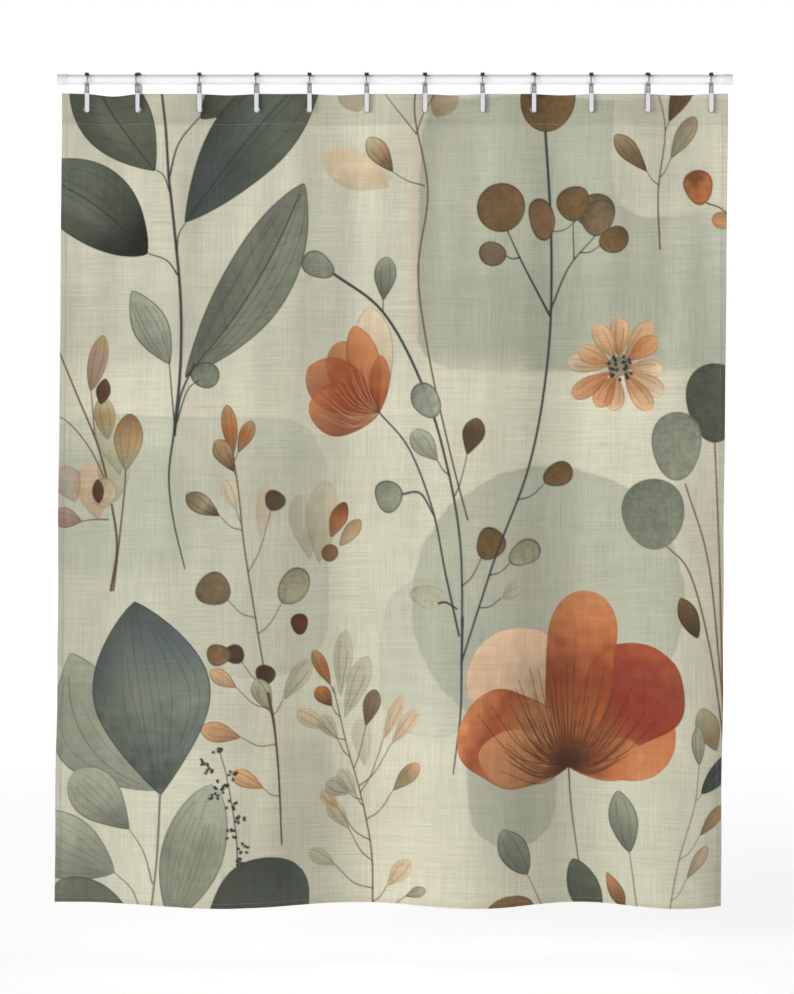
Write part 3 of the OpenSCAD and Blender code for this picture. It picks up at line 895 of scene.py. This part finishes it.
def metal_material(name, colour, roughness, streak, edge=0.0004, rim=1.0):
    """Brushed or polished metal. Near its edges the normals turn and the colour is multiplied by rim, a
    painted shade for the dark reflections at the edges.
    """
    n = Nodes(name)
    grain = n.noise(n.scaled(n.place(), 900, 900, 90), 1.0, 3.0)
    smudge = n.noise(n.place(), 140.0, 3.0)
    turned = n.add("ShaderNodeBevel", {"samples": 6}, Radius=edge).outputs[0]
    plain = n.add("ShaderNodeNewGeometry").outputs["True Normal"]
    same = n.add("ShaderNodeVectorMath", {"operation": "DOT_PRODUCT"}, **{"0": turned, "1": plain})
    # painted shade: the colour darkens towards the edges, standing in for dark reflections there
    painted_edge_shade = n.spread(same.outputs["Value"], rim, 1.0, EDGE_TURN)
    n.tinted(colour, n.math("MULTIPLY", n.spread(smudge, 0.9, 1.08), painted_edge_shade))
    n.shade(Metallic=1.0, Roughness=n.spread(grain, roughness - streak, roughness + streak))
    n.bump(grain, 0.12, 0.0001, Normal=turned)
    return n.data


def coated_material(name, colour, roughness, coat):
    """Gloss paint or moulded plastic, with a faint orange peel."""
    n = Nodes(name)
    peel = n.noise(n.place(), 320.0)
    dust = n.noise(n.place(), 22.0, 4.0)
    n.tinted(colour, n.spread(dust, 0.97, 1.02))
    n.shade(Roughness=n.spread(dust, roughness * 0.8, roughness * 1.25))
    n.shade(Coat_Weight=coat, Coat_Roughness=0.08)
    n.bump(peel, 0.08, 0.0002)
    return n.data


def floor_material(name):
    """White, glowing more strongly far away, so that the floor has no far edge."""
    n = Nodes(name)
    away = n.add("ShaderNodeVectorMath", {"operation": "LENGTH"}, **{"0": n.place()}).outputs["Value"]
    glow = n.spread(away, FLOOR_GLOW, FLOOR_FAR, FADE_START, FADE_END, "SMOOTHSTEP")
    n.shade(Base_Color=(0.95, 0.95, 0.96, 1), Roughness=0.6)
    n.shade(Emission_Color=(1, 1, 1, 1), Emission_Strength=glow)
    return n.data


def paint(obj, material):
    obj.data.materials.clear()
    obj.data.materials.append(material)


# ---- the cloth ----

PITCH_CM = 0.2
BACK_STEP = 3
LIGHT_ON_CLOTH = 0.86
GHOST = 0.25
HEM_STEP = 0.006
SECTION_STEP = 0.0025
RUN_START = 0.0022
STITCH_PITCH = 0.0042
STITCH_LONG = 0.0034
STITCH_R = 0.00028
SEAM_BACK = 0.0013


def hang(obj, node):
    """A piece of the cloth: it swings with the curtain."""
    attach(obj, "curtain")
    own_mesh(obj)
    if node:
        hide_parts(node)


def on_cloth(x, z, back):
    """Points on the hanging cloth, back metres behind its middle."""
    x, z, back = np.broadcast_arrays(x, z, back)
    dip = edge_dip(x) * np.clip(1 - (CLOTH_TOP - z) / SAG_DROP, 0, 1)
    return np.stack([cloth_x(x, z), cloth_y(x, z) + back, z - dip], -1)


def flat_place(x, z):
    x, z = np.broadcast_arrays(x, z)
    return np.stack([x - CLOTH_LEFT, CLOTH_TOP - z, np.zeros(x.shape)], -1)


def outside_eyelets(x, z, radius):
    """Which faces of a net of points lie outside every eyelet."""
    x = (x[1:, 1:] + x[:-1, :-1]) / 2
    z = (z[1:, 1:] + z[:-1, :-1]) / 2
    free = np.ones(x.shape, bool)
    for hook_x in HOOK_X:
        free &= np.hypot(x - hook_x, z - EYELET_Z) > radius
    return free.reshape(-1)


def dressed_net(name, x, z, back, rgb, material, holes=False):
    """One net of cloth with its print."""
    keep = outside_eyelets(x, z, EYELET_HOLE) if holes else None
    obj, used = grid_object(name, on_cloth(x, z, back), keep)
    ink = np.concatenate([linear(rgb), np.ones(rgb.shape[:2] + (1,))], -1).reshape(-1, 4)[used]
    store(obj, "ink", "FLOAT_COLOR", ink)
    store(obj, "flat", "FLOAT_VECTOR", flat_place(x, z).reshape(-1, 3)[used])
    paint(obj, material)
    return obj


def joined(name, parts):
    """Several objects as one."""
    with bpy.context.temp_override(active_object=parts[0], selected_editable_objects=parts):
        bpy.ops.object.join()
    parts[0].name = name
    return parts[0]


def inset(low, high, values):
    return np.clip(values, low + FOLD_R, high - FOLD_R)


def ghosted(rgb):
    """The print as it shows through to the back of the cloth."""
    return rgb * GHOST + np.array(BACK_GROUND, float) * (1 - GHOST)


def printed(p, x, z):
    """The print's colour at each place on the cloth."""
    i = np.clip(np.rint((x - CLOTH_LEFT) * 100 / PITCH_CM).astype(int), 0, p.across - 1)
    j = np.clip(np.rint((CLOTH_TOP - z) * 100 / PITCH_CM).astype(int), 0, p.down - 1)
    return p.rgb[j, i]


def hem_section(width):
    """A hem from the front of its fold to its stitched edge, as (inward, back)."""
    middle_y = (HEM_BACK - FACE) / 2
    turns = np.radians(np.linspace(-90, 90, 9))
    fold = [(FOLD_R * (1 - np.cos(t)), middle_y + FOLD_R * np.sin(t)) for t in turns]
    seam = width - SEAM_IN
    steps = max(int(width / SECTION_STEP), 4)
    run = [(d, HEM_BACK) for d in np.linspace(RUN_START, seam - 0.0014, steps)]
    # the thread pulls the layers together, and the cut edge is rounded off
    pinch = [(seam - 0.0006, 0.0014), (seam, 0.0012), (seam + 0.0006, 0.0014)]
    edge = [(width - 0.0008, HEM_BACK), (width - 0.0002, 0.0013), (width, 0.0009), (width, FACE)]
    return np.array(fold + run + pinch + edge)


def wrapped(low, high, steps, at_low, at_high):
    """Places along a hem, with how far round its end each lies: 0 flat, 1 back at the front face."""
    turn = np.linspace(1, 0, 7)[:-1]
    places = [np.linspace(low, high, steps)]
    round_end = [np.zeros(steps)]
    if at_low:
        places.insert(0, np.full(len(turn), low))
        round_end.insert(0, turn)
    if at_high:
        places.append(np.full(len(turn), high))
        round_end.append(turn[::-1])
    return np.concatenate(places), np.concatenate(round_end)


def hem(name, p, material, place, low, high, at_low, at_high, width, holes=False):
    """A hem turned to the back. place gives (x, z) from its way along and its way inward."""
    section = hem_section(width)
    along, turned = wrapped(low, high, int((high - low) / HEM_STEP), at_low, at_high)
    inward, back = section[:, 0][None, :], section[:, 1][None, :]
    radius = (back + FACE) / 2
    angle = np.pi * turned[:, None]
    outward = radius * np.sin(angle) + (FOLD_R - radius) * (turned[:, None] > 0)
    depth = back - radius * (1 - np.cos(angle))
    ends = np.where(np.arange(len(along)) < len(along) / 2, -1, 1)[:, None]
    along = along[:, None] + ends * (outward - FOLD_R * ((ends < 0) & at_low | (ends > 0) & at_high))
    x, z = place(along, np.broadcast_to(inward, along.shape))
    rgb = printed(p, x, z)
    rgb = np.where((depth > FACE)[..., None], ghosted(rgb), rgb)
    return dressed_net(name, x, z, depth, rgb, material, holes)


def make_cloth():
    p = Print(PITCH_CM)
    paint_all(p)
    mark_hems(p)
    linen = cloth_material("printed_linen", LIGHT_ON_CLOTH)
    x, z = np.meshgrid(inset(CLOTH_LEFT, CLOTH_RIGHT, CLOTH_LEFT + p.x / 100),
                       inset(CLOTH_BOTTOM, CLOTH_TOP, CLOTH_TOP - p.y / 100))
    front = dressed_net("panel_front", x, z, -FACE, p.rgb, linen, holes=True)
    rows = np.unique(np.append(np.arange(0, p.down, BACK_STEP), p.down - 1))
    columns = np.unique(np.append(np.arange(0, p.across, BACK_STEP), p.across - 1))
    ghost = ghosted(p.rgb[rows][:, columns])
    back = dressed_net("panel_back", x[rows][:, columns], z[rows][:, columns], FACE, ghost, linen, holes=True)
    back.data.flip_normals()
    panel = joined("printed_panel", [front, back])
    top = hem("header_band", p, linen, lambda a, d: (a, CLOTH_TOP - d), CLOTH_LEFT, CLOTH_RIGHT, True, True,
              CLOTH_TOP - HEADER_BOTTOM, holes=True)
    foot = hem("bottom_fold", p, linen, lambda a, d: (a, CLOTH_BOTTOM + d), CLOTH_LEFT + SIDE_HEM,
               CLOTH_RIGHT - SIDE_HEM, False, False, HEM_TOP - CLOTH_BOTTOM)
    left = hem("left_side_fold", p, linen, lambda a, d: (CLOTH_LEFT + d, a), CLOTH_BOTTOM, HEADER_BOTTOM,
               True, False, SIDE_HEM)
    right = hem("right_side_fold", p, linen, lambda a, d: (CLOTH_RIGHT - d, a), CLOTH_BOTTOM, HEADER_BOTTOM,
                True, False, SIDE_HEM)
    return panel, top, foot, left, right


def mark_hems(p):
    """Two layers let less light through, and each seam draws a thin line."""
    header = (CLOTH_TOP - HEADER_BOTTOM) * 100
    foot = (CLOTH_TOP - HEM_TOP) * 100
    side = SIDE_HEM * 100
    across = np.minimum(p.x, CLOTH_W * 100 - p.x)
    p.rgb[p.y < header] *= 0.955
    p.rgb[p.y > foot] *= 0.965
    p.rgb[:, across < side] *= 0.975
    seam = SEAM_IN * 100
    for gap in (abs(p.y - header + seam), abs(p.y - foot - seam)):
        p.rgb[gap < PITCH_CM * 0.75] *= 1.035
    p.rgb[:, abs(across - side + seam) < PITCH_CM * 0.75] *= 0.97


def make_eyelets():
    """A ring of close buttonhole stitches round each eyelet."""
    sides = 120
    around = 12
    turn = np.linspace(0, 2 * np.pi, sides, endpoint=False)[:, None]
    section = np.linspace(0, 2 * np.pi, around, endpoint=False)[None, :]
    verts = []
    faces = []
    rng = np.random.default_rng(21)
    for hook_x in HOOK_X:
        ragged = rng.uniform(-0.00018, 0.00018, (sides, 1)) * (np.cos(section) > 0.3)
        ridge = 0.00012 * np.cos(turn * 40)
        radius = EYELET_EDGE + (EYELET_HALF + ridge) * np.cos(section) + ragged
        deep = (HEM_BACK - FACE) / 2 + (EYELET_RISE + ridge) * np.sin(section)
        x = hook_x + radius * np.sin(turn)
        z = EYELET_Z + radius * np.cos(turn)
        points = on_cloth(x, z, deep)
        first = len(verts)
        verts.extend(points.reshape(-1, 3))
        for i in range(sides):
            for j in range(around):
                here = first + i * around
                beyond = first + (i + 1) % sides * around
                j_next = (j + 1) % around
                faces.append((here + j, beyond + j, beyond + j_next, here + j_next))
    return new_object("stitched_eyelets", verts, faces)


def stitch_row(length, along, verts, faces, back, out):
    """Thread stitches end to end; along gives (x, z) for a distance along the seam."""
    sides = 5
    rings = ((0.0, 0.15), (0.18, 0.8), (0.5, 1.0), (0.82, 0.8), (1.0, 0.15))
    count = int(length / STITCH_PITCH)
    for k in range(count):
        start = (k + 0.5) * length / count - STITCH_LONG / 2
        first = len(verts)
        for share, fat in rings:
            x, z = along(start + share * STITCH_LONG)
            x2, z2 = along(start + share * STITCH_LONG + 0.0001)
            side = np.array([-(z2 - z), 0, x2 - x])
            side /= np.linalg.norm(side)
            rise = out * STITCH_R * (1.5 * fat - 0.5)
            core = on_cloth(x, z, back + rise)
            for turn in range(sides):
                angle = 2 * np.pi * turn / sides
                verts.append(core + STITCH_R * fat * (side * np.cos(angle) + np.array([0, np.sin(angle), 0])))
        for ring in range(len(rings) - 1):
            for turn in range(sides):
                a = first + ring * sides + turn
                b = first + ring * sides + (turn + 1) % sides
                faces.append((a, b, b + sides, a + sides))


def make_seams():
    """The visible threads of the header, the side hems and the bottom hem, on both faces."""
    verts = []
    faces = []
    inside_left = CLOTH_LEFT + SIDE_HEM - SEAM_IN
    inside_right = CLOTH_RIGHT - SIDE_HEM + SEAM_IN
    drop = HEADER_BOTTOM - CLOTH_BOTTOM
    header_z = HEADER_BOTTOM + SEAM_IN
    foot_z = HEM_TOP - SEAM_IN
    for back, out in ((-FACE, -1), (SEAM_BACK, 1)):
        stitch_row(CLOTH_W, lambda d: (CLOTH_LEFT + d, header_z), verts, faces, back, out)
        stitch_row(CLOTH_W - 2 * SIDE_HEM, lambda d: (CLOTH_LEFT + SIDE_HEM + d, foot_z), verts, faces,
                   back, out)
        for x in (inside_left, inside_right):
            stitch_row(drop, lambda d: (x, HEADER_BOTTOM - d), verts, faces, back, out)
    return new_object("seam_threads", verts, faces)


panel, top_hem, foot_hem, left_hem, right_hem = make_cloth()
eyelets = make_eyelets()
seams = make_seams()
thread = thread_material("thread", (0.44, 0.44, 0.36))
paint(eyelets, thread_material("eyelet_thread", (0.30, 0.30, 0.25)))
paint(seams, thread)
hang(panel, "panel_cloth")
hang(top_hem, "header_hem")
hang(foot_hem, "bottom_hem")
hang(left_hem, "left_side_hem")
hang(right_hem, "right_side_hem")
hang(eyelets, "eyelet_stitching")
hang(seams, None)

# ---- metal and rod ----

BLOCK_EDGE = 0.0011
# painted shade: the block and strip colours fall to this share at their edges, for dark edge reflections
METAL_RIM = 0.40


def round_edges(obj, width):
    bevel = obj.modifiers.new("edges", "BEVEL")
    bevel.width = width
    bevel.segments = 3
    bevel.limit_method = "ANGLE"


chrome = metal_material("ring_metal", (0.34, 0.34, 0.36), 0.16, 0.05)
block_metal = metal_material("block_metal", (0.42, 0.42, 0.445), 0.15, 0.05, 0.0040, METAL_RIM)
strip_metal = metal_material("strip_metal", (0.74, 0.74, 0.78), 0.22, 0.07, 0.0022, METAL_RIM)
nylon = coated_material("glide_nylon", (0.035, 0.035, 0.04), 0.35, 0.0)
rod_paint = coated_material("rod_paint", (0.93, 0.93, 0.94), 0.22, 0.5)
cap_plastic = coated_material("cap_plastic", (0.82, 0.82, 0.84), 0.35, 0.2)
for hook in hooks:
    for part, material in (("ring", chrome), ("glide", nylon), ("block", block_metal),
                           ("strip", strip_metal)):
        paint(frame["nodes"][f"{hook}_{part}"], material)
    round_edges(frame["nodes"][hook + "_block"], BLOCK_EDGE)
for name, material in (("tube", rod_paint), ("cap_left", cap_plastic), ("cap_right", cap_plastic)):
    paint(frame["nodes"]["rod_" + name], material)

# ---- stage, light and camera ----

# The camera looks straight ahead from DISTANCE in front of the rod and sees VIEW_WIDTH of it
DISTANCE = 3.5
VIEW_WIDTH = 1.7905
EYE_X = 0.0045
EYE_Z = -0.9411
ZENITH = 0.30
SIDES = 0.22
DIFFUSE_SHARE = 0.30
KEY = 3.5
KEY_WIDTH = 0.6
KEY_WAY = (0.90, 0.43, -0.05)
OVERHEAD = (0.3, 0.9)
SIDEWAYS = (0.6, 0.95)
SENSOR = 36
FLOOR_DROP = 0.13
FLOOR_HALF = 60
scene = bpy.context.scene
scene.view_settings.view_transform = "Standard"


def make_world():
    """White to the camera; to other rays darker overhead and at the sides, and dim as a light."""
    n = Nodes("studio", "worlds", "Background")
    generated = n.add("ShaderNodeTexCoord").outputs["Generated"]
    way = n.add("ShaderNodeSeparateXYZ", None, Vector=generated).outputs
    ray = n.add("ShaderNodeLightPath").outputs
    overhead = n.spread(way["Z"], 1.0, ZENITH, *OVERHEAD, "SMOOTHSTEP")
    sideways = n.spread(n.math("ABSOLUTE", way["X"]), 1.0, SIDES, *SIDEWAYS, "SMOOTHSTEP")
    dimmer = n.spread(ray["Is Diffuse Ray"], 1.0, DIFFUSE_SHARE, 0.0, 1.0, "SMOOTHSTEP")
    lit = n.math("MULTIPLY", n.math("MULTIPLY", overhead, sideways), dimmer)
    n.shade(Strength=n.math("MAXIMUM", lit, ray["Is Camera Ray"]), Color=(1, 1, 1, 1))
    scene.world = n.data


def make_floor():
    corners = [(x * FLOOR_HALF, y * FLOOR_HALF, 0) for x, y in ((-1, -1), (1, -1), (1, 1), (-1, 1))]
    floor = new_object("floor", corners, [(0, 1, 2, 3)])
    floor.location.z = CLOTH_BOTTOM - FLOOR_DROP
    paint(floor, floor_material("floor_paint"))


def make_key():
    """A wide low sun from the left, which brings out the folds."""
    sun = bpy.data.lights.new("key", "SUN")
    sun.energy = KEY
    sun.angle = KEY_WIDTH
    sun_obj = bpy.data.objects.new("key", sun)
    sun_obj.visible_glossy = False
    sun_obj.rotation_euler = Vector(KEY_WAY).to_track_quat("-Z", "Y").to_euler()
    scene.collection.objects.link(sun_obj)


def make_camera():
    camera = bpy.data.cameras.new("camera")
    camera.sensor_fit = "HORIZONTAL"
    camera.sensor_width = SENSOR
    camera.lens = SENSOR * DISTANCE / VIEW_WIDTH
    camera_obj = bpy.data.objects.new("camera", camera)
    camera_obj.location = (EYE_X, -DISTANCE, EYE_Z)
    camera_obj.rotation_euler = (np.pi / 2, 0, 0)
    scene.collection.objects.link(camera_obj)
    scene.camera = camera_obj


make_world()
make_floor()
make_key()
make_camera()
